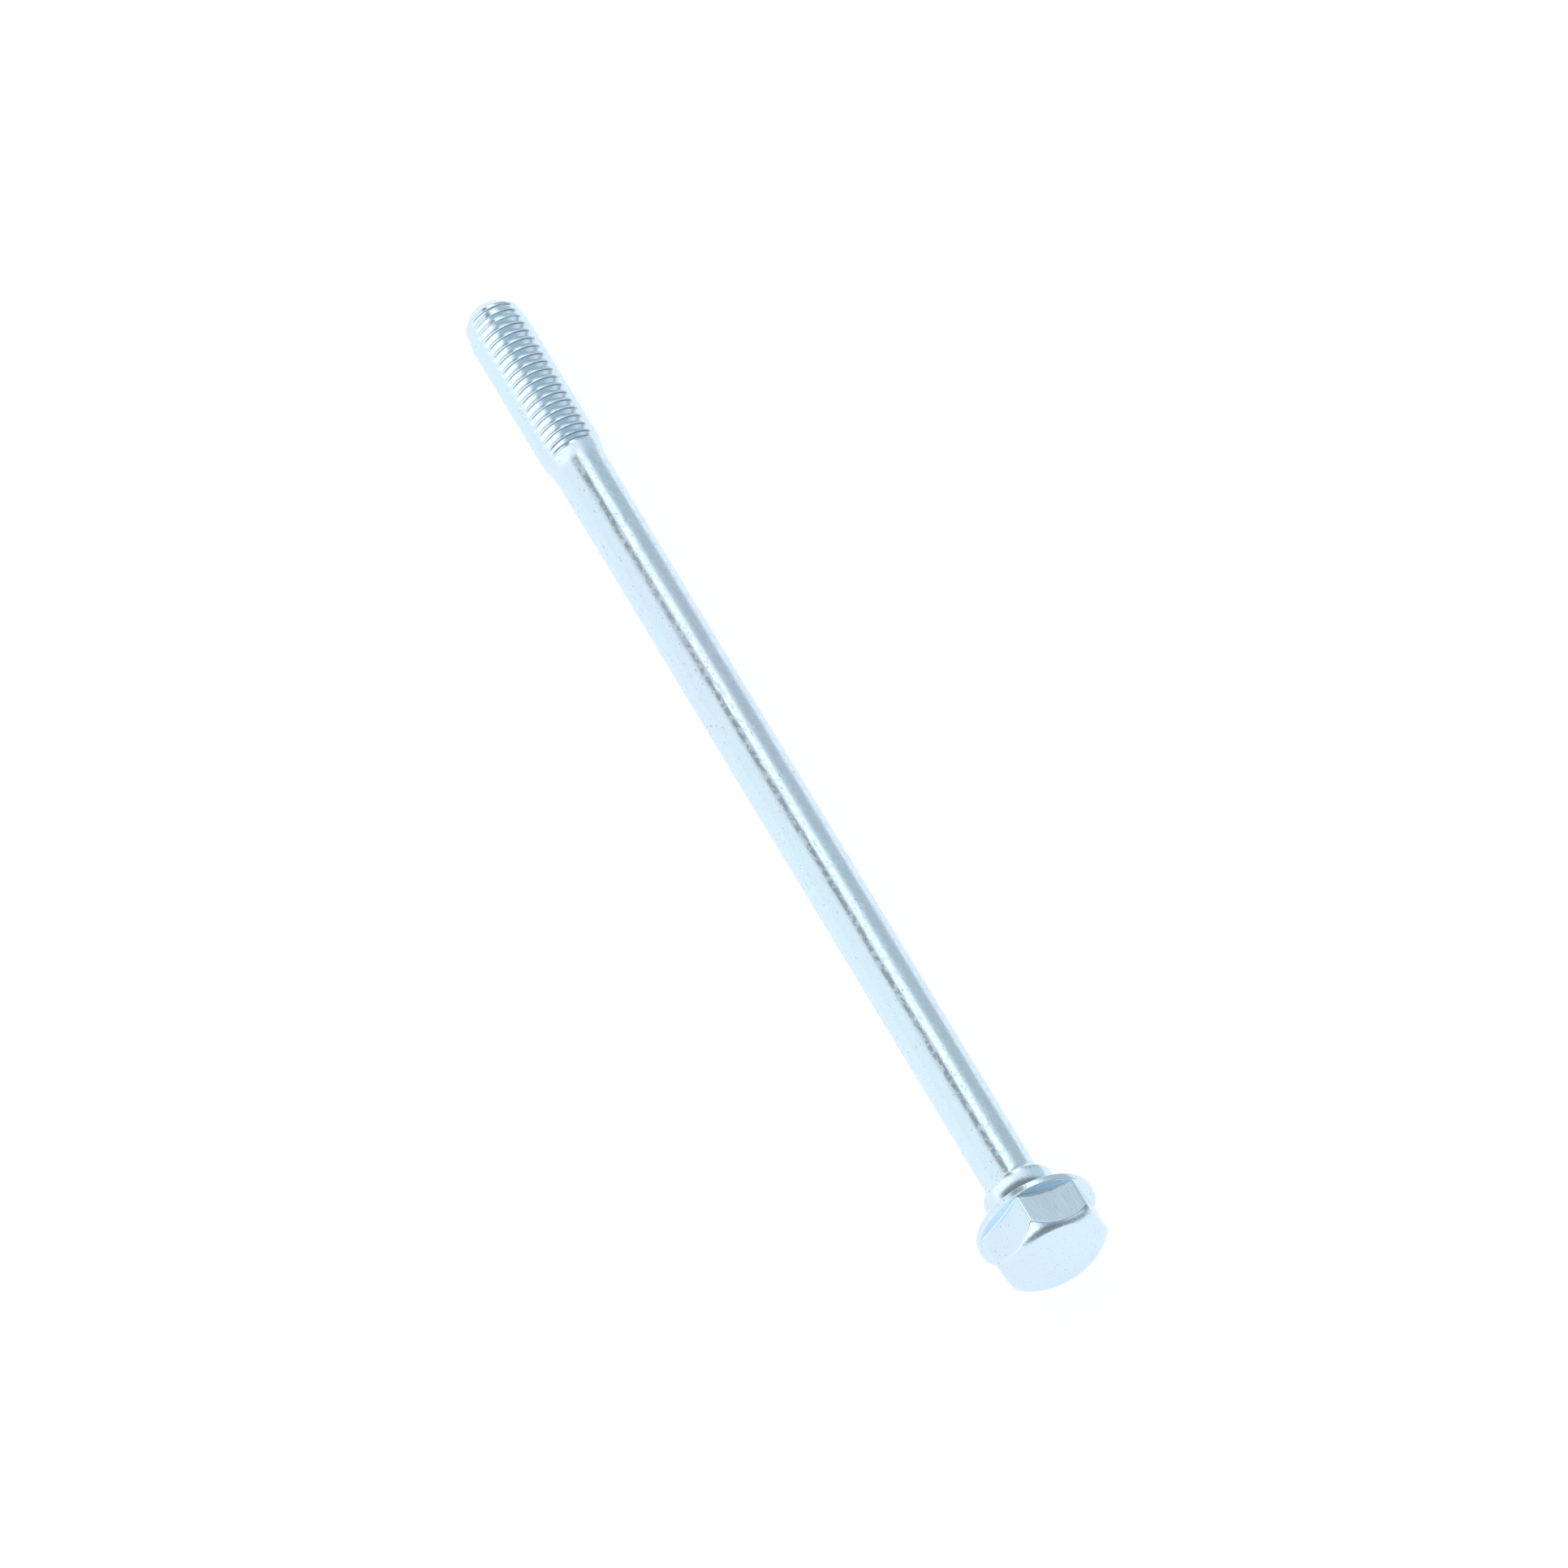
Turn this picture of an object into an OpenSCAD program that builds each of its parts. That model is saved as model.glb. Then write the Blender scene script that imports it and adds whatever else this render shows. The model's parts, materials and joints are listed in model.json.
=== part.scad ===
// Long hex flange bolt: one piece of steel, with a rolled thread at the tip, a shank of the
// blank's smaller diameter, a rounded collar under the flange, and a hex head with a crowned end.
// It lies as it comes to rest, on the flange's rim and on the thread near the tip, with the
// head towards +X. The thread is a groove cut along a right-hand helix, which fades out at both ends.

/* [Length] */
// From the seat under the flange to the tip
length = 115; // [50:1:200]

/* [Thread] */
// Major diameter
thread_d = 6; // [4:0.5:10]
// Distance between neighbouring ridges
pitch = 1; // [0.75:0.25:1.5]
// From the crests to the bottom of the groove
thread_depth = 0.5; // [0.3:0.05:0.7]
// Width of the crests
crest_w = 0.2; // [0.1:0.05:0.3]
// Height of the groove's middle above the tip, straight down, in pitches
thread_start = 0.83; // [0:0.01:1]
// From the tip to the last full thread
thread_len = 17.8; // [8:0.1:40]
// Fading threads between the last full thread and the shank
runout_len = 2.8; // [0.5:0.1:6]
// From the tip to the first full thread
lead_len = 3; // [2:0.1:6]
// How far the lead's start lies inside the major radius
lead_drop = 0.28; // [0.1:0.02:0.6]
// Length of the chamfered point
point_len = 0.9; // [0.4:0.1:1.6]
// How far the point's end lies inside the lead's start
point_drop = 0.62; // [0.2:0.02:1]

/* [Shank and collar] */
// How far the rolled thread stands out past the shank
roll_rise = 0.4; // [0.1:0.05:0.6]
// How far the collar's edge stands out past the thread, and the fillet between the neck and the seat
collar_step = 0.5; // [0.1:0.05:0.65]
// Length of the flare between the shank and the collar's edge
flare_len = 1.1; // [0.5:0.1:2]
// Length of the collar's rounded back, from its edge towards the flange
back_len = 2.1; // [1:0.05:4]
// Plain neck of the thread's diameter, from the collar's back to the seat
neck_len = 1.25; // [0.7:0.05:6]

/* [Flange] */
// How far the flange stands out past the hex's corners
flange_lip = 0.13; // [0.1:0.01:3]
// Thickness at the rim
rim_t = 0.75; // [0.7:0.05:2]
// Rounding of the rim's edges
rim_round = 0.15; // [0.05:0.05:0.3]
// Rise of the flange's sloping top, from the rim to the flats
wash_rise = 0.18; // [0.1:0.02:1]

/* [Hex head] */
// Width across the flats
hex_af = 10; // [8:0.5:14]
// From the seat under the flange to the end face
head_h = 5; // [4:0.1:8]
// How far the flat end face lies inside the flats
face_inset = 0.6; // [0.3:0.05:1]
// How far below the end face the middle of a flat ends
flat_drop = 0.4; // [0.2:0.05:0.6]
// How far below the end face a corner's edge ends
corner_drop = 1.4; // [1:0.05:1.8]
// Turn of the hex about the bolt's axis, from a corner straight down
hex_turn = 22; // [0:1:60]

/* [Smoothness] */
// Segments of a full circle
segments = 96; // [48:12:144]
// Straight pieces of each curved outline
arc_steps = 8; // [4:1:16]
// Straight pieces of each turn of the thread
turn_steps = 18; // [12:2:24]

/* [Hidden] */

thread_r = thread_d / 2;
lead_r = thread_r - lead_drop;
point_r = lead_r - point_drop;
shank_r = thread_r - roll_rise;

// The groove's section is a V, which reaches out past the crests without meeting the next turn.
root_r = thread_r - thread_depth;
mouth_half = (pitch - crest_w) / 2;
reach_half = (mouth_half + pitch / 2) / 2;
reach = thread_depth * reach_half / mouth_half;
groove_steps = turn_steps * ceil((thread_len + runout_len) / pitch + 1);

collar_r = thread_r + collar_step;
edge_z = -neck_len - back_len;
back_r = (back_len * back_len / collar_step + collar_step) / 2;
corner_r = hex_af / 2 / cos(30);
flange_r = corner_r + flange_lip;
wash_top = rim_t + wash_rise;

// The crown is the circle through the end face's edge, a flat's middle and a corner.
face_edge = [hex_af / 2 - face_inset, head_h];
flat_end = [hex_af / 2, head_h - flat_drop];
corner_end = [corner_r, head_h - corner_drop];
crown_c = circle_centre(face_edge, flat_end, corner_end);
crown_r = norm(face_edge - crown_c);

// At rest the bolt touches the floor with the rim's rounded edge and with the first full thread.
rest_drop = flange_r - rim_round - thread_r;
rest_span = length - lead_len + rim_round;
lie_angle = atan2(rest_drop, rest_span) + asin(rim_round / norm([rest_drop, rest_span]));
seat_z = (flange_r - rim_round) * cos(lie_angle) - rim_round * sin(lie_angle) + rim_round;
head_reach = head_h * cos(lie_angle) + face_edge[0] * sin(lie_angle);
tip_reach = length * cos(lie_angle) + point_r * sin(lie_angle);
seat_x = (tip_reach - head_reach) / 2;

// Centre of the circle through three points
function circle_centre(a, b, c) =
    let (ab = b - a, ac = c - a, cross = 2 * (ab[0] * ac[1] - ab[1] * ac[0]))
    a + [ac[1] * (ab * ab) - ab[1] * (ac * ac), ab[0] * (ac * ac) - ac[0] * (ab * ab)] / cross;

// Points of an elliptical arc, with its radii as [across, along] and its angles in degrees
function arc(centre, radii, from, to) = [
    for (i = [0 : arc_steps])
        let (angle = from + (to - from) * i / arc_steps)
        centre + [radii[0] * cos(angle), radii[1] * sin(angle)]
];

function angle_at(centre, point) = atan2(point[1] - centre[1], point[0] - centre[0]);

// How far the groove has risen out of the thread, at a height above the tip
function groove_rise(height) =
    (thread_depth - roll_rise / 2) * max(0, (height - thread_len) / runout_len);

// Corner of the groove's section, given by its distance from the root and along the axis
function groove_point(step, out, along) =
    let (
        angle = 360 * step / turn_steps,
        height = pitch * (step / turn_steps + thread_start - 1),
        radius = root_r + groove_rise(height) + out
    )
    [radius * cos(angle), radius * sin(angle), height + along - length];

// The helical groove, as the solid that is cut away
module groove() {
    corners = [
        for (step = [0 : groove_steps])
            each [
                groove_point(step, 0, 0),
                groove_point(step, reach, reach_half),
                groove_point(step, reach, -reach_half)
            ]
    ];
    sides = [
        for (first = [0 : 3 : 3 * groove_steps - 3], corner = [0 : 2])
            let (near = first + corner, next = first + (corner + 1) % 3)
            each [[near, next + 3, next], [near, near + 3, next + 3]]
    ];
    last = 3 * groove_steps;
    polyhedron(corners, concat([[0, 1, 2]], sides, [[last + 2, last + 1, last]]));
}

// Half section of the tip, thread, shank, collar and flange, as [radius, height above the seat]
module round_section() {
    rim_in = flange_r - rim_round;
    polygon(concat(
        [[0, -length], [point_r, -length]],
        [[lead_r, point_len - length], [thread_r, lead_len - length]],
        [[thread_r, thread_len - length], [shank_r, thread_len + runout_len - length]],
        arc([collar_r, edge_z - flare_len], [collar_r - shank_r, flare_len], 180, 90),
        arc([collar_r - back_r, edge_z], [back_r, back_r], 0, 2 * atan(collar_step / back_len)),
        arc([collar_r, -collar_step], [collar_step, collar_step], 180, 90),
        arc([rim_in, rim_round], [rim_round, rim_round], -90, 0),
        arc([rim_in, rim_t - rim_round], [rim_round, rim_round], 0, 90),
        [[hex_af / 2, wash_top], [0, wash_top]]
    ));
}

// Half section of the solid of revolution that crowns the end of the hex
module crown_section() {
    polygon(concat(
        [[0, 0], [corner_r + corner_drop, 0]],
        [[corner_r + corner_drop, corner_end[1] - corner_drop]],
        arc(crown_c, [crown_r, crown_r], angle_at(crown_c, corner_end), angle_at(crown_c, face_edge)),
        [[0, head_h]]
    ));
}

module hex_head() {
    intersection() {
        translate([0, 0, rim_round])
            rotate([0, 0, hex_turn])
                cylinder(r = corner_r, h = head_h, $fn = 6);
        rotate_extrude($fn = segments) crown_section();
    }
}

// The whole bolt, turned from its own axis to the way it lies
module flange_bolt() {
    color("#c3d3e4")
        translate([seat_x, 0, seat_z])
            rotate([0, 90 - lie_angle, 0])
                union() {
                    difference() {
                        rotate_extrude($fn = segments) round_section();
                        groove();
                    }
                    hex_head();
                }
}

flange_bolt();
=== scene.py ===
"""A long hex flange bolt in zinc-plated steel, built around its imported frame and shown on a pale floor."""

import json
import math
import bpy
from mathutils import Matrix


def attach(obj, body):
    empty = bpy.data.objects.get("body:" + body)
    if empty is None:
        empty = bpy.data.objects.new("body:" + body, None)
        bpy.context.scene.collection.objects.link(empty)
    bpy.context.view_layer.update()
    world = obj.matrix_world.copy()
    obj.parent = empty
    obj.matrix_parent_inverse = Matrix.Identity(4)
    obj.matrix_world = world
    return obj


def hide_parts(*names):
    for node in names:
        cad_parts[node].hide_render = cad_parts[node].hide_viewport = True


bl_info = {
    "name": "Hex Flange Bolt",
    "version": (1, 0, 0),
    "blender": (4, 5, 0),
    "location": "3D View > Sidebar > Bolt",
    "description": "Builds a zinc-plated hex flange bolt with its rolled thread, and a plain studio stage",
    "category": "Object",
}

import bmesh
import bpy
import numpy as np
from bpy.props import FloatProperty, FloatVectorProperty, IntProperty, PointerProperty

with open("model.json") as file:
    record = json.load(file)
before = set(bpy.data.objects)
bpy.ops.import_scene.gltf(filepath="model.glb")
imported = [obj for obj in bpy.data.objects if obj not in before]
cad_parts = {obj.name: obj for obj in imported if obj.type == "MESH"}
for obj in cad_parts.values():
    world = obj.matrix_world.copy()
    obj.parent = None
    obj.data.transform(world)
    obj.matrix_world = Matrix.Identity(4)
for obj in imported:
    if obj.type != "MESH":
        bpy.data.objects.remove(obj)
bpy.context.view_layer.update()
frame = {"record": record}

# Places on the bolt, from the record. Heights run along the axis, from the flange's seat to the head
MOUNTS = {mount["name"]: mount for mount in frame["record"]["mounts"]}
THREAD = MOUNTS["thread"]
MM = 0.001
AXIS = -np.array(MOUNTS["flange_seat"]["axis"])
SIDE = np.array([0.0, 1.0, 0.0])
DOWN = np.cross(SIDE, AXIS)
SEAT = np.array(MOUNTS["flange_seat"]["pos_m"]) * (1.0, 0.0, 1.0)
LIE_ANGLE = math.atan2(AXIS[2], AXIS[0])
THREAD_MIDDLE = float((np.array(THREAD["pos_m"]) - SEAT) @ AXIS)
FULL_THREAD_START = THREAD_MIDDLE - THREAD["dims"]["length_mm"] * MM / 2

WHOLE_SIDE = math.radians(60)
HALF_SIDE = math.radians(30)

# Rows on one turn of the thread: on the two sides of the crest, and as shares of the front flank's way
BACK_ROWS = 4
FRONT_ROWS = 8
FLANK_ROWS = np.array([0.35, 0.75, 0.94, 1.0])

# Rows on the other parts, from the tip to the end face
TIP_ROWS = 3
SHANK_ROWS = 240
FLARE_ROWS = 10
COLLAR_ROWS = 14
NECK_ROWS = 2
FILLET_ROWS = 6
RIM_ROWS = 6
RIM_SIDE_ROWS = 2
WASH_ROWS = 2
FLAT_ROWS = 6
CROWN_ROWS = 10
FACE_ROWS = 4

# Powers: how the run-out falls to the shank, and how columns crowd towards a hex corner
RUNOUT_EASE = 1.7
COLUMN_CROWDING = 1.7

# Speeds: the groove fades in half the run-out, and columns are in place after two thirds of the shank
FADE_SPEED = 2.0
DRIFT_SPEED = 1.5

# Softness of the crease between thread and lead, the rim's clearance from the hex corners, and the
# softness of the collar's edge against that of other edges
CREASE_WIDTH = 0.12 * MM
RIM_CLEARANCE = 0.03 * MM
COLLAR_SOFTNESS = 1.2

# Points nearer than the first are merged, and edges shorter than the second are dissolved
MERGE_DISTANCE = 2e-7
SHORTEST_EDGE = 1e-8


def length(label, description, default):
    """A property that holds a length in metres."""
    return FloatProperty(
        name=label, description=description, default=default, min=0.0, precision=5, unit="LENGTH"
    )


def degrees(label, description, default):
    """A property that holds an angle, with its default in degrees."""
    return FloatProperty(
        name=label, description=description, default=math.radians(default), subtype="ANGLE"
    )


def ratio(label, description, default):
    """A property that holds a plain number."""
    return FloatProperty(name=label, description=description, default=default)


def tint(label, description, default):
    """A property that holds a linear colour."""
    return FloatVectorProperty(
        name=label, description=description, default=default, size=3, min=0.0, max=1.0, subtype="COLOR"
    )


class BoltSizes(bpy.types.PropertyGroup):
    """Sizes of the bolt that its frame doesn't state as mounts."""

    thread_radius: length("Thread radius", "Major radius of the thread", THREAD["dims"]["r_mm"] * MM)
    pitch: length("Pitch", "Rise of the thread in one turn", 1.0 * MM)
    crest_radius: length("Crest radius", "Rounding of the crests towards the head", 0.43 * MM)
    back_radius: length("Crest back radius", "Rounding of the crests towards the tip", 0.2 * MM)
    front_angle: degrees("Front flank", "Slope of the flank that faces the head", 43.0)
    back_angle: degrees("Back flank", "Slope of the flank that faces the tip", 47.0)
    thread_start: ratio("Thread start", "Groove above the tip, straight down, in pitches", 0.83)
    thread_length: length("Thread length", "Full thread, from the lead's end to the run-out", 14.8 * MM)
    lead_length: length("Lead length", "From the tip to the first full thread", 3.0 * MM)
    lead_drop: length("Lead drop", "How far the lead's start lies inside the major radius", 0.28 * MM)
    point_length: length("Point length", "Length of the chamfered point", 0.9 * MM)
    point_drop: length("Point drop", "How far the point's end lies inside the lead's start", 0.62 * MM)
    runout_length: length("Run-out length", "Fading threads between the thread and the shank", 2.8 * MM)
    shank_radius: length("Shank radius", "Radius of the plain shank", 2.6 * MM)
    collar_step: length("Collar step", "How far the collar's edge stands out past the thread", 0.5 * MM)
    flare_length: length("Flare length", "Curve between the shank and the collar's edge", 1.1 * MM)
    back_length: length("Collar back", "Rounded back of the collar", 2.1 * MM)
    neck_length: length("Neck length", "Plain neck between the collar and the seat", 1.25 * MM)
    flange_lip: length("Flange lip", "How far the flange stands out past the hex corners", 0.12 * MM)
    rim_thickness: length("Rim thickness", "Thickness of the flange at its rim", 0.75 * MM)
    rim_round: length("Rim rounding", "Rounding of the rim's two edges", 0.15 * MM)
    wash_rise: length("Wash rise", "Rise of the flange's sloping top", 0.18 * MM)
    across_flats: length("Across flats", "Width of the hex across its flats", 10.0 * MM)
    head_height: length("Head height", "From the seat to the end face", 5.0 * MM)
    face_inset: length("Face inset", "How far the end face lies inside the flats", 0.6 * MM)
    flat_drop: length("Flat drop", "How far below the end face a flat's middle ends", 0.4 * MM)
    corner_drop: length("Corner drop", "How far below the end face a corner ends", 1.4 * MM)
    corner_round: length("Corner rounding", "Rounding of the hex corners", 0.22 * MM)
    edge_round: length("Edge softness", "Reach of the softened edges", 0.09 * MM)
    hex_turn: degrees("Hex turn", "Turn of a hex corner from straight down", 22.0)
    side_columns: IntProperty(
        name="Columns per side", description="Grid columns on one hex side", default=24, min=4
    )


class BoltFinish(bpy.types.PropertyGroup):
    """Colours and sheen of the zinc plating."""

    plate: tint("Plating", "Pale blue of the zinc plating", (0.7, 0.88, 0.98))
    plate_lilac: tint("Lilac plating", "Tint that the plating takes on in patches", (0.71, 0.85, 0.98))
    pit: tint("Pits", "Colour in the small pits", (0.42, 0.47, 0.52))
    roughness: ratio("Roughness", "Mean roughness of the plating", 0.2)
    grain_roughness: ratio("Grain roughness", "Roughness of the shank's matte grains", 0.36)


class StageSettings(bpy.types.PropertyGroup):
    """Camera and floor of the studio."""

    azimuth: degrees("Azimuth", "Camera's turn about the vertical", 64.18)
    elevation: degrees("Elevation", "Camera's height above the horizon", 54.7)
    distance: length("Distance", "From the camera to the bolt", 3.0)
    field: length("Field", "Width of the picture at the bolt", 143.82 * MM)
    aim: FloatVectorProperty(
        name="Aim",
        description="Point at the picture's centre",
        default=(-1.17 * MM, 1.96 * MM, 1.35 * MM),
        subtype="TRANSLATION",
        unit="LENGTH",
    )
    floor_size: length("Floor size", "Width of the floor", 40.0)
    floor_colour: tint("Floor colour", "Pale colour of the floor", (0.25, 0.25, 0.25))
    floor_glow: ratio("Floor glow", "White that the floor shows by itself", 0.86)


# Rows of the surface: arrays of rows by columns by (radius, height)


def ring(radius, height, columns):
    """One row at a radius and height, each a number or one value for each column."""
    row = np.empty((1, columns, 2))
    row[0, :, 0] = radius
    row[0, :, 1] = height
    return row


def line_rows(start, stop, steps):
    """Rows on the straight line from one row to the next, both ends left out."""
    share = np.linspace(0.0, 1.0, steps + 2)[1:-1, None, None]
    return start + (stop - start) * share


def arc_rows(centre, radii, start, stop, steps, columns):
    """Rows on an ellipse: centre plus (radius times cosine, height radius times sine) of an angle that
    goes evenly from start to stop, which may differ from column to column."""
    share = np.linspace(0.0, 1.0, steps + 1)[:, None]
    angle = start + (stop - start) * share + np.zeros((1, columns))
    radius = centre[0] + radii[0] * np.cos(angle)
    height = centre[1] + radii[1] * np.sin(angle)
    return np.stack([radius, height], axis=-1)


def bend_rows(before, corner, after, reach, steps=4):
    """Rows that round a corner: the quadratic curve whose ends lie a reach from the corner, towards the
    row before it and the row after it, and whose middle control point is the corner."""
    back = before - corner
    ahead = after - corner
    back_length = np.linalg.norm(back, axis=-1, keepdims=True)
    ahead_length = np.linalg.norm(ahead, axis=-1, keepdims=True)
    first = corner + back / back_length * np.minimum(reach, back_length / 2)
    last = corner + ahead / ahead_length * np.minimum(reach, ahead_length / 2)
    t = np.linspace(0.0, 1.0, steps + 1)[:, None, None]
    return (1 - t) ** 2 * first + 2 * t * (1 - t) * corner + t ** 2 * last


def smooth_step(value):
    """0 below 0, 1 above 1, and 3v squared less 2v cubed between."""
    v = np.clip(value, 0.0, 1.0)
    return v * v * (3 - 2 * v)


def soft_min(a, b, width):
    """The smaller of a and b, with a parabola in place of the crease where they differ by less than the
    width."""
    share = np.clip(0.5 + 0.5 * (b - a) / width, 0.0, 1.0)
    return b + (a - b) * share - width * share * (1 - share)


def column_angles(size):
    """Angles of the columns about the axis, and each one's angle from the nearest hex corner. A side's
    columns crowd towards its corner as a power of their share of the way to the middle of a flat."""
    half = size.side_columns // 2
    share = np.arange(-half, half) / half
    from_corner = HALF_SIDE * np.sign(share) * np.abs(share) ** COLUMN_CROWDING
    corners = size.hex_turn + WHOLE_SIDE * np.arange(6)
    angles = (corners[:, None] + from_corner).ravel()
    angles = np.append(angles, angles[0] + 2 * math.pi)
    from_corner = np.append(np.tile(from_corner, 6), from_corner[0])
    return angles, from_corner


def hex_radius(size, from_corner):
    """Radius of a hexagon with rounded corners, by the angle from the nearest corner: half the width
    across flats over the cosine from the flat's middle, and near a corner the far side of the rounding
    circle."""
    flat = size.across_flats / 2
    centre = (flat - size.corner_round) / math.cos(HALF_SIDE)
    psi = np.abs(from_corner)
    touch = math.atan2(size.corner_round / 2, centre + size.corner_round * math.cos(HALF_SIDE))
    straight = flat / np.cos(HALF_SIDE - psi)
    across = np.maximum(size.corner_round ** 2 - (centre * np.sin(psi)) ** 2, 0.0)
    return np.where(psi < touch, centre * np.cos(psi) + np.sqrt(across), straight)


def circle_through(a, b, c):
    """Centre and radius of the circle through three points."""
    ab = b - a
    ac = c - a
    cross = 2 * (ab[0] * ac[1] - ab[1] * ac[0])
    across = ac[1] * (ab @ ab) - ab[1] * (ac @ ac)
    along = ab[0] * (ac @ ac) - ac[0] * (ab @ ab)
    offset = np.array([across, along]) / cross
    return a + offset, np.linalg.norm(offset)


def thread_section(size):
    """One turn of the thread's section, as places along the axis from the crest and drops below it: a
    small circle from the back flank's slope to the crest, a larger one from there to the front flank's
    slope, and the straight front flank down to the root. The root lies where the front flank's line meets
    that of the next turn's back flank."""
    slopes = np.linspace(-size.back_angle, 0.0, BACK_ROWS, endpoint=False)
    slopes = np.append(slopes, np.linspace(0.0, size.front_angle, FRONT_ROWS))
    radius = np.where(slopes < 0, size.back_radius, size.crest_radius)
    place = radius * np.sin(slopes)
    drop = radius * (1 - np.cos(slopes))
    front = math.tan(size.front_angle)
    back = math.tan(size.back_angle)
    between = size.pitch + place[0] - place[-1]
    flank = FLANK_ROWS * (drop[0] - drop[-1] + between * back) / (front + back)
    return np.append(place, place[-1] + flank), np.append(drop, drop[-1] + flank * front)


def thread_rows(size, angles, tip):
    """The thread, as rows that climb one pitch in a turn, so that each keeps its place on the thread's
    section. Its radius is an outer radius less the section's drop, and is cut by the lead's cone near the
    tip. On the run-out the outer radius falls to the shank's as a power of the way that is left, and the
    drop fades to nothing over the first half. Rows are held between the two ends, where they fall
    together."""
    start = tip + size.edge_round
    full_end = tip + size.lead_length + size.thread_length
    stop = full_end + size.runout_length
    place, drop = thread_section(size)
    crest = tip + size.pitch * (angles[None, :] / (2 * math.pi) + size.thread_start + 0.5)
    first = math.floor((start - crest.max() - place.max()) / size.pitch)
    last = math.ceil((stop - crest.min() - place.min()) / size.pitch) + 1
    along = (size.pitch * np.arange(first, last)[:, None] + place).reshape(-1, 1)
    height = np.clip(crest + along, start, stop)
    runout = np.clip((height - full_end) / size.runout_length, 0.0, 1.0)
    rise = size.thread_radius - size.shank_radius
    outer = size.shank_radius + rise * (1 - runout) ** RUNOUT_EASE
    fade = 1 - smooth_step(FADE_SPEED * runout)
    thread = outer - fade * np.tile(drop, last - first)[:, None]
    lead_radius = size.thread_radius - size.lead_drop
    point_radius = lead_radius - size.point_drop
    lead_end = tip + size.lead_length
    cone = np.interp(
        height,
        [start, tip + size.point_length, lead_end, lead_end + size.pitch],
        [point_radius, lead_radius, size.thread_radius, size.thread_radius + size.crest_radius],
    )
    radius = soft_min(thread, cone, CREASE_WIDTH)
    return np.stack([radius, height], axis=-1)


def stem_rows(size, columns, low):
    """Shank, collar and neck: straight rows, a quarter ellipse from the shank out to the collar's edge, a
    circle from there back to the neck, which leaves the edge along the axis, and the neck with its fillet
    up to the seat."""
    collar = size.thread_radius + size.collar_step
    edge_height = -size.neck_length - size.back_length
    flare_start = edge_height - size.flare_length
    shank_start = ring(size.shank_radius, low, columns)
    shank_stop = ring(size.shank_radius, flare_start, columns)
    radii = (collar - size.shank_radius, size.flare_length)
    flare = arc_rows((collar, flare_start), radii, math.pi, math.pi / 2, FLARE_ROWS, columns)
    bow = (size.back_length ** 2 / size.collar_step + size.collar_step) / 2
    bow_angle = 2 * math.atan2(size.collar_step, size.back_length)
    back = arc_rows((collar - bow, edge_height), (bow, bow), 0.0, bow_angle, COLLAR_ROWS, columns)
    centre = (collar, -size.collar_step)
    fillet_radii = (size.collar_step, size.collar_step)
    fillet = arc_rows(centre, fillet_radii, math.pi, math.pi / 2, FILLET_ROWS, columns)
    return [
        shank_start,
        line_rows(shank_start, shank_stop, SHANK_ROWS),
        flare[:-2],
        bend_rows(flare[-3:-2], flare[-1:], back[2:3], COLLAR_SOFTNESS * size.edge_round),
        back[2:],
        line_rows(back[-1:], fillet[:1], NECK_ROWS),
        fillet,
    ]


def head_rows(size, from_corner):
    """Flange and hex: the rim's two quarter circles, the sloping wash up to the hex, the flats, and the
    crown, a circle through the end face's edge, a flat's middle and a corner, which starts on each column
    where it meets the hex."""
    columns = len(from_corner)
    hexagon = hex_radius(size, from_corner)
    flat = size.across_flats / 2
    corner = flat / math.cos(HALF_SIDE)
    flange = corner + size.flange_lip
    rim_in = flange - size.rim_round
    rim_top = size.rim_thickness - size.rim_round
    foot_height = size.rim_thickness + size.wash_rise * (rim_in - hexagon) / (rim_in - flat)
    rim_reach = np.clip((hexagon + RIM_CLEARANCE - rim_in) / size.rim_round, 0.0, 1.0)
    rim_radii = (size.rim_round, size.rim_round)
    lower_rim = arc_rows((rim_in, size.rim_round), rim_radii, -math.pi / 2, 0.0, RIM_ROWS, columns)
    upper_rim = arc_rows((rim_in, rim_top), rim_radii, 0.0, np.arccos(rim_reach), RIM_ROWS, columns)
    rim_edge = upper_rim[-1:]
    foot = ring(hexagon, foot_height, columns)

    top = size.head_height
    face_edge = np.array([flat - size.face_inset, top])
    flat_end = np.array([flat, top - size.flat_drop])
    corner_end = np.array([corner, top - size.corner_drop])
    crown_centre, crown_radius = circle_through(face_edge, flat_end, corner_end)
    start = np.arccos((hexagon - crown_centre[0]) / crown_radius)
    stop = math.atan2(face_edge[1] - crown_centre[1], face_edge[0] - crown_centre[0])
    crown = arc_rows(crown_centre, (crown_radius, crown_radius), start, stop, CROWN_ROWS, columns)
    shoulder = crown[:1]
    face_rim = crown[-1:]
    middle = ring(0.0, top, columns)
    soft = size.edge_round
    flat_low = bend_rows(rim_edge, foot, shoulder, soft)
    flat_high = bend_rows(foot, shoulder, crown[1:2], soft)
    return [
        lower_rim,
        line_rows(lower_rim[-1:], upper_rim[:1], RIM_SIDE_ROWS),
        upper_rim,
        line_rows(rim_edge, flat_low[:1], WASH_ROWS),
        flat_low,
        line_rows(flat_low[-1:], flat_high[:1], FLAT_ROWS),
        flat_high,
        crown[1:-1],
        bend_rows(crown[-2:-1], face_rim, middle, soft),
        line_rows(face_rim, middle, FACE_ROWS)[1:],
        middle,
    ]


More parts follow.
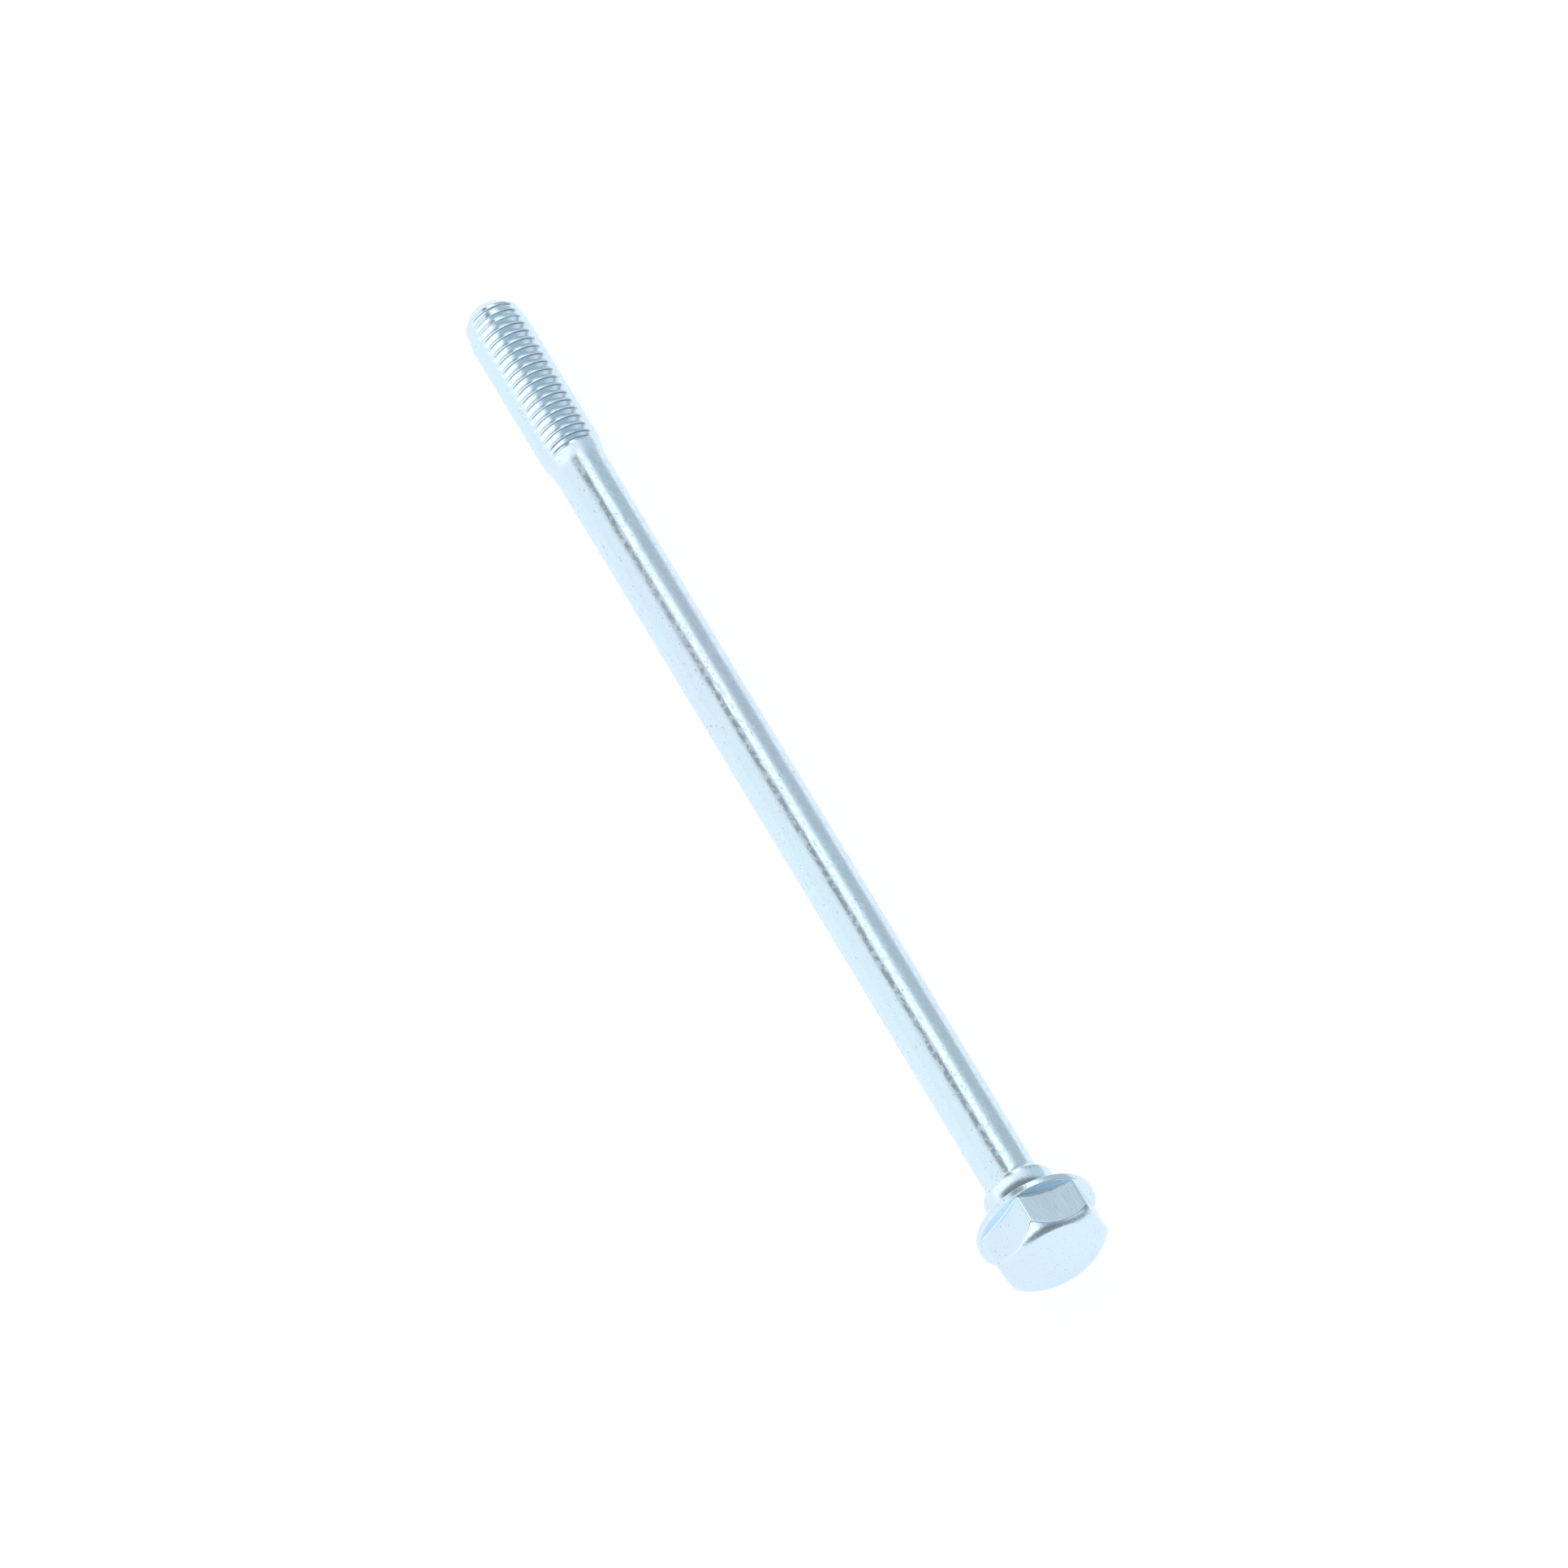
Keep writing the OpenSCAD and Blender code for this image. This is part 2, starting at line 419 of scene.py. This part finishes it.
# Small dents on the shank: height above the seat, angle from straight down, length, width and depth,
# in millimetres and degrees
NICKS = (
    (-68.3, 130.4, 0.7, 0.35, 0.09),
    (-74.6, 113.0, 0.4, 0.3, 0.07),
    (-71.1, 234.4, 0.35, 0.18, 0.03),
    (-65.1, 190.1, 0.5, 0.25, 0.03),
    (-62.4, 187.0, 0.9, 0.12, 0.03),
    (-66.9, 160.0, 0.3, 0.25, 0.03),
    (-55.2, 188.5, 0.35, 0.3, 0.025),
    (-86.3, 168.0, 0.8, 0.2, 0.02),
)


def nicked(radius, height, angles):
    """The radius less each nick's depth times a bell curve of the distance from it, along and around the
    shank."""
    for nick_height, nick_angle, long, wide, deep in NICKS:
        along = (height - nick_height * MM) / (long * MM)
        turn = angles - math.radians(nick_angle)
        turn = np.arctan2(np.sin(turn), np.cos(turn))
        around = turn * radius / (wide * MM)
        radius = radius - deep * MM * np.exp(-along ** 2 - around ** 2)
    return radius


def bolt_surface(size):
    """The whole bolt as one grid of points: radius and height on each row and column, set about the axis.
    The columns are even on the thread, and drift along the shank to where the hex needs them."""
    angles, from_corner = column_angles(size)
    columns = len(angles)
    tip = FULL_THREAD_START - size.lead_length
    even = np.linspace(angles[0], angles[-1], columns)
    thread = thread_rows(size, even, tip)
    point_radius = size.thread_radius - size.lead_drop - size.point_drop
    tip_edge = ring(point_radius - size.edge_round, tip, columns)
    tip_middle = ring(0.0, tip, columns)
    shank_start = thread[-1, 0, 1]
    rows = [tip_middle, line_rows(tip_middle, tip_edge, TIP_ROWS), tip_edge, thread]
    rows += stem_rows(size, columns, shank_start)[1:]
    rows += head_rows(size, from_corner)
    grid = np.concatenate(rows)
    height = grid[..., 1]
    drift = np.clip(1 - (height - size.head_height) / (shank_start - size.head_height), 0.0, 1.0)
    angles = even + (angles - even) * np.minimum(DRIFT_SPEED * drift, 1.0)
    radius = nicked(grid[..., 0], height, angles)[..., None]
    around = np.cos(angles)[..., None] * DOWN + np.sin(angles)[..., None] * SIDE
    return SEAT + radius * around + height[..., None] * AXIS


def grid_object(name, points):
    """A mesh object from a grid of points, with its coincident points merged and its faces smooth."""
    rows, columns = points.shape[:2]
    index = np.arange(rows * columns).reshape(rows, columns)
    corners = [index[:-1, :-1], index[:-1, 1:], index[1:, 1:], index[1:, :-1]]
    quads = np.stack(corners, axis=-1).reshape(-1, 4)
    mesh = bpy.data.meshes.new(name)
    mesh.from_pydata(points.reshape(-1, 3), [], quads)
    work = bmesh.new()
    work.from_mesh(mesh)
    bmesh.ops.remove_doubles(work, verts=work.verts, dist=MERGE_DISTANCE)
    bmesh.ops.dissolve_degenerate(work, edges=work.edges, dist=SHORTEST_EDGE)
    work.to_mesh(mesh)
    work.free()
    mesh.polygons.foreach_set("use_smooth", np.ones(len(mesh.polygons), dtype=bool))
    mesh.update()
    piece = bpy.data.objects.new(name, mesh)
    bpy.context.scene.collection.objects.link(piece)
    return piece


# Noises of the plating: stretch along the axis, scale and detail
PATCH_NOISE = (3.0, 110.0, 2.0)
LINE_NOISE = (14.0, 6000.0, 3.0)
DIMPLE_NOISE = (3.0, 3600.0, 4.0)
PIT_NOISE = (2.4, 5200.0, 2.0)
GRAIN_NOISE = (1.5, 2300.0, 3.0)
SWELL_NOISE = (2.0, 420.0, 1.0)
NOISE_ROUGHNESS = 0.55

# Values of a noise between which an effect goes from none to full, and the spread of the sheen
PIT_RANGE = (0.66, 0.74)
LILAC_RANGE = (0.4, 0.65)
GRAIN_RANGE = (0.46, 0.62)
SHEEN_RANGE = (0.3, 0.7)
SHEEN_SPREAD = 0.15

# Heights of the plating's bumps, and the lengths in which the grains come up and end on the shank
SWELL_HEIGHT = 0.04 * MM
LINE_HEIGHT = 0.0012 * MM
DIMPLE_HEIGHT = 0.009 * MM
PIT_DEPTH = 0.006 * MM
GRAINS_COME_UP = 1.0 * MM
GRAINS_END = 0.5 * MM


def new_node(tree, kind, inputs=(), **settings):
    """A node of that kind, with its settings, and with numbers set or sockets linked on its inputs."""
    node = tree.nodes.new(kind)
    for key, value in settings.items():
        setattr(node, key, value)
    for key, value in dict(inputs).items():
        if isinstance(value, bpy.types.NodeSocket):
            tree.links.new(value, node.inputs[key])
        else:
            node.inputs[key].default_value = value
    return node


def worked_out(tree, operation, *values):
    """The result of a sum on one to three values."""
    inputs = dict(enumerate(values))
    return new_node(tree, "ShaderNodeMath", inputs, operation=operation).outputs[0]


def mixed(tree, share, first, second):
    """A colour mixed from the first to the second by a share."""
    node = new_node(tree, "ShaderNodeMix", data_type="RGBA")
    for key, value in (("Factor_Float", share), ("A_Color", first), ("B_Color", second)):
        socket = next(entry for entry in node.inputs if entry.identifier == key)
        if isinstance(value, bpy.types.NodeSocket):
            tree.links.new(value, socket)
        else:
            socket.default_value = value
    return next(entry for entry in node.outputs if entry.identifier == "Result_Color")


def ranged(tree, value, low, high, out_low, out_high):
    """A value mapped from one range to another, held at its ends."""
    inputs = {
        "Value": value,
        "From Min": low,
        "From Max": high,
        "To Min": out_low,
        "To Max": out_high,
    }
    return new_node(tree, "ShaderNodeMapRange", inputs).outputs["Result"]


def stretched_noise(tree, place, stretch, scale, detail):
    """Noise on the bolt's own coordinates, drawn out along the axis by a stretch."""
    inputs = {0: place, 1: (scale / stretch, scale, scale)}
    scaled = new_node(tree, "ShaderNodeVectorMath", inputs, operation="MULTIPLY").outputs["Vector"]
    inputs = {"Vector": scaled, "Scale": 1.0, "Detail": detail, "Roughness": NOISE_ROUGHNESS}
    return new_node(tree, "ShaderNodeTexNoise", inputs).outputs["Fac"]


def bumped(tree, distance, height, normal=None, invert=False):
    """A normal tipped by a height, over another normal where one is given."""
    inputs = {"Strength": 1.0, "Distance": distance, "Height": height}
    if normal is not None:
        inputs["Normal"] = normal
    return new_node(tree, "ShaderNodeBump", inputs, invert=invert).outputs["Normal"]


def zinc_plate(finish, size):
    """Bright zinc plating: a pale blue metal with lilac patches, fine lines drawn along the axis, small
    pits, matte grains on the drawn shank, and a soft unevenness that breaks up its reflections."""
    material = bpy.data.materials.new("zinc_plate")
    material.use_nodes = True
    tree = material.node_tree
    shader = tree.nodes["Principled BSDF"]
    where = new_node(tree, "ShaderNodeTexCoord").outputs["Object"]
    inputs = {"Vector": where, "Location": SEAT, "Rotation": (0.0, -LIE_ANGLE, 0.0)}
    place = new_node(tree, "ShaderNodeMapping", inputs, vector_type="TEXTURE").outputs["Vector"]

    patches = stretched_noise(tree, place, *PATCH_NOISE)
    lines = stretched_noise(tree, place, *LINE_NOISE)
    dimples = stretched_noise(tree, place, *DIMPLE_NOISE)
    pits = ranged(tree, stretched_noise(tree, place, *PIT_NOISE), *PIT_RANGE, 0.0, 1.0)

    lilac = ranged(tree, patches, *LILAC_RANGE, 0.0, 1.0)
    colour = mixed(tree, lilac, (*finish.plate, 1.0), (*finish.plate_lilac, 1.0))
    colour = mixed(tree, pits, colour, (*finish.pit, 1.0))
    tree.links.new(colour, shader.inputs["Base Color"])

    along = new_node(tree, "ShaderNodeSeparateXYZ", {"Vector": place}).outputs["X"]
    thread_end = FULL_THREAD_START + size.thread_length + size.runout_length
    shank_end = -size.neck_length - size.back_length - size.flare_length
    past_thread = ranged(tree, along, thread_end - GRAINS_COME_UP, thread_end, 0.0, 1.0)
    on_shank = ranged(tree, along, shank_end, shank_end + GRAINS_END, past_thread, 0.0)
    grains = ranged(tree, stretched_noise(tree, place, *GRAIN_NOISE), *GRAIN_RANGE, 0.0, on_shank)
    smoothest = finish.roughness * (1 - SHEEN_SPREAD)
    roughest = finish.roughness * (1 + SHEEN_SPREAD)
    rough = ranged(tree, patches, *SHEEN_RANGE, smoothest, roughest)
    rough = ranged(tree, grains, 0.0, 1.0, rough, finish.grain_roughness)
    tree.links.new(rough, shader.inputs["Roughness"])
    shader.inputs["Metallic"].default_value = 1.0

    swells = stretched_noise(tree, place, *SWELL_NOISE)
    normal = bumped(tree, SWELL_HEIGHT, swells)
    normal = bumped(tree, LINE_HEIGHT, lines, normal)
    normal = bumped(tree, DIMPLE_HEIGHT, dimples, normal)
    normal = bumped(tree, PIT_DEPTH, pits, normal, invert=True)
    tree.links.new(normal, shader.inputs["Normal"])
    return material


def floor_material(stage):
    """A pale floor that keeps the bolt's shadow, and glows white where the camera or a reflection sees
    it."""
    material = bpy.data.materials.new("studio_floor")
    material.use_nodes = True
    tree = material.node_tree
    tree.nodes.clear()
    ray = new_node(tree, "ShaderNodeLightPath").outputs
    seen = worked_out(tree, "MAXIMUM", ray["Is Camera Ray"], ray["Is Glossy Ray"])
    seen = worked_out(tree, "MAXIMUM", seen, ray["Is Transmission Ray"])
    glow = worked_out(tree, "MULTIPLY", seen, stage.floor_glow)
    paint = new_node(tree, "ShaderNodeBsdfDiffuse", {"Color": (*stage.floor_colour, 1.0)})
    light = new_node(tree, "ShaderNodeEmission", {"Strength": glow})
    both = new_node(tree, "ShaderNodeAddShader", {0: paint.outputs[0], 1: light.outputs[0]})
    new_node(tree, "ShaderNodeOutputMaterial", {"Surface": both.outputs[0]})
    return material


# The light tent, in bands from the tip's side to the head's. Each goes by the angle from straight up, in
# degrees towards +Y, and gives the brightness there and a share of the blue tint
TIP_SIDE = (
    (-180.0, 0.9, 0.0),
    (-90.0, 0.95, 0.0),
    (-42.0, 0.97, 0.0),
    (-34.0, 0.88, 0.0),
    (-28.5, 0.3, 0.0),
    (-8.0, 0.3, 0.0),
    (-2.5, 1.35, 0.0),
    (13.0, 1.45, 0.0),
    (23.0, 1.1, 0.0),
    (29.0, 0.82, 0.1),
    (33.0, 0.62, 0.3),
    (42.0, 0.56, 0.4),
    (78.0, 0.56, 0.3),
    (100.0, 0.74, 0.0),
    (125.0, 0.9, 0.0),
    (180.0, 0.9, 0.0),
)
OVERHEAD = (
    (-180.0, 0.9, 0.0),
    (-90.0, 1.15, 0.0),
    (-60.0, 1.3, 0.0),
    (-22.0, 1.25, 0.0),
    (-8.0, 1.05, 0.0),
    (20.0, 0.95, 0.0),
    (45.0, 0.7, 0.4),
    (95.0, 0.75, 0.4),
    (180.0, 0.9, 0.0),
)
GAP = (
    (-180.0, 0.9, 0.0),
    (-80.0, 1.1, 0.0),
    (-62.0, 0.22, 0.6),
    (75.0, 0.22, 0.6),
    (100.0, 0.75, 0.4),
    (180.0, 0.9, 0.0),
)
HEAD_SIDE = (
    (-180.0, 0.9, 0.0),
    (-100.0, 1.3, 0.0),
    (-60.0, 1.45, 0.0),
    (-26.0, 1.45, 0.0),
    (-17.0, 1.0, 0.3),
    (-9.0, 0.56, 1.0),
    (40.0, 0.5, 1.0),
    (66.0, 0.85, 0.6),
    (95.0, 0.9, 0.0),
    (180.0, 0.9, 0.0),
)
HEAD_END = (
    (-180.0, 0.9, 0.0),
    (-110.0, 0.9, 0.0),
    (-80.0, 0.15, 0.0),
    (90.0, 0.15, 0.0),
    (120.0, 0.9, 0.0),
    (180.0, 0.9, 0.0),
)

# Where along +X each band after the first takes over, as the part of a direction that lies along it
BANDS = (
    (-0.48, -0.38, OVERHEAD),
    (-0.12, -0.05, GAP),
    (0.36, 0.42, HEAD_SIDE),
    (0.86, 0.93, HEAD_END),
)
BLUE_TINT = np.array([-0.18, 0.0, 0.13])
BRIGHTEST = 1.5

# The dark wall: its grey, where its top begins and is full, how its top slopes to the sides, how far it
# is turned towards +Y, and where its edge begins and is full
WALL_GREY = 0.25
WALL_TOP = (0.38, 0.28)
WALL_SLOPE = 0.2
WALL_TURN = 0.35
WALL_EDGE = (0.6, 0.8)


def surround_ramp(tree, share, stops):
    """A ramp of pale colours over the angle around the bolt's axis."""
    node = new_node(tree, "ShaderNodeValToRGB", {"Fac": share})
    elements = node.color_ramp.elements
    for number, (angle, level, blue) in enumerate(stops):
        place = angle / 360 + 0.5
        stop = elements[number] if number < 2 else elements.new(place)
        stop.position = place
        stop.color = (*(level / BRIGHTEST * (1 + blue * BLUE_TINT)), 1.0)
    return node.outputs["Color"]


def studio_surround():
    """A light tent as the world: its brightness changes softly around the bolt's axis and along it, and
    low beyond the head stands a dark wall."""
    world = bpy.data.worlds.new("studio")
    bpy.context.scene.world = world
    world.use_nodes = True
    tree = world.node_tree
    back = tree.nodes["Background"]
    ray = new_node(tree, "ShaderNodeTexCoord").outputs["Generated"]
    part = new_node(tree, "ShaderNodeSeparateXYZ", {"Vector": ray}).outputs
    turn = worked_out(tree, "ARCTAN2", part["Y"], part["Z"])
    share = ranged(tree, turn, -math.pi, math.pi, 0.0, 1.0)
    colour = surround_ramp(tree, share, TIP_SIDE)
    for start, stop, stops in BANDS:
        reach = ranged(tree, part["X"], start, stop, 0.0, 1.0)
        colour = mixed(tree, reach, colour, surround_ramp(tree, share, stops))

    aside = worked_out(tree, "ABSOLUTE", part["Y"])
    height = worked_out(tree, "MULTIPLY_ADD", aside, WALL_SLOPE, part["Z"])
    low = ranged(tree, height, *WALL_TOP, 0.0, 1.0)
    facing = worked_out(tree, "MULTIPLY_ADD", part["Y"], WALL_TURN, part["X"])
    beyond = ranged(tree, facing, *WALL_EDGE, 0.0, 1.0)
    wall = worked_out(tree, "MULTIPLY", low, beyond)
    grey = WALL_GREY / BRIGHTEST
    colour = mixed(tree, wall, colour, (grey, grey, grey, 1.0))
    tree.links.new(colour, back.inputs["Color"])
    back.inputs["Strength"].default_value = BRIGHTEST


# Operators


class BOLT_OT_flange_bolt(bpy.types.Operator):
    """Build the bolt with its thread, flange and hex head, and give it its zinc plating"""

    bl_idname = "bolt.flange_bolt"
    bl_label = "Flange Bolt"

    def execute(self, context):
        scene = context.scene
        bolt = grid_object("plated_flange_bolt", bolt_surface(scene.bolt_sizes))
        bolt.data.materials.append(zinc_plate(scene.bolt_finish, scene.bolt_sizes))
        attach(bolt, "root")
        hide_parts("flange_bolt")
        return {"FINISHED"}


class BOLT_OT_stage(bpy.types.Operator):
    """Set the pale floor, the soft light around the bolt, and the camera"""

    bl_idname = "bolt.stage"
    bl_label = "Studio Stage"

    def execute(self, context):
        scene = context.scene
        stage = scene.bolt_stage
        half = stage.floor_size / 2
        mesh = bpy.data.meshes.new("floor")
        corners = [(-half, -half, 0.0), (half, -half, 0.0), (half, half, 0.0), (-half, half, 0.0)]
        mesh.from_pydata(corners, [], [(0, 1, 2, 3)])
        floor = bpy.data.objects.new("floor", mesh)
        floor.data.materials.append(floor_material(stage))
        scene.collection.objects.link(floor)
        studio_surround()

        lens = bpy.data.cameras.new("camera")
        lens.lens = lens.sensor_width * stage.distance / stage.field
        lens.clip_end = stage.distance + stage.floor_size
        camera = bpy.data.objects.new("camera", lens)
        level = math.cos(stage.elevation)
        back = np.array([
            math.sin(stage.azimuth) * level,
            -math.cos(stage.azimuth) * level,
            math.sin(stage.elevation),
        ])
        camera.location = np.array(stage.aim) + back * stage.distance
        camera.rotation_euler = (math.pi / 2 - stage.elevation, 0.0, stage.azimuth)
        scene.collection.objects.link(camera)
        scene.camera = camera
        scene.view_settings.view_transform = "Standard"
        return {"FINISHED"}


class BOLT_PT_panel(bpy.types.Panel):
    """Sidebar panel with the bolt's operators and settings"""

    bl_idname = "BOLT_PT_panel"
    bl_label = "Hex Flange Bolt"
    bl_space_type = "VIEW_3D"
    bl_region_type = "UI"
    bl_category = "Bolt"

    def draw(self, context):
        for group in (context.scene.bolt_sizes, context.scene.bolt_finish, context.scene.bolt_stage):
            box = self.layout.box()
            for key in group.__annotations__:
                box.prop(group, key)
        self.layout.operator(BOLT_OT_flange_bolt.bl_idname)
        self.layout.operator(BOLT_OT_stage.bl_idname)


CLASSES = (BoltSizes, BoltFinish, StageSettings, BOLT_OT_flange_bolt, BOLT_OT_stage, BOLT_PT_panel)


def register():
    for entry in CLASSES:
        bpy.utils.register_class(entry)
    bpy.types.Scene.bolt_sizes = PointerProperty(type=BoltSizes)
    bpy.types.Scene.bolt_finish = PointerProperty(type=BoltFinish)
    bpy.types.Scene.bolt_stage = PointerProperty(type=StageSettings)


def unregister():
    del bpy.types.Scene.bolt_stage
    del bpy.types.Scene.bolt_finish
    del bpy.types.Scene.bolt_sizes
    for entry in reversed(CLASSES):
        bpy.utils.unregister_class(entry)


def main():
    """Register the add-on, and build the bolt and its stage."""
    register()
    bpy.ops.bolt.flange_bolt()
    bpy.ops.bolt.stage()


if __name__ == "__main__":
    main()
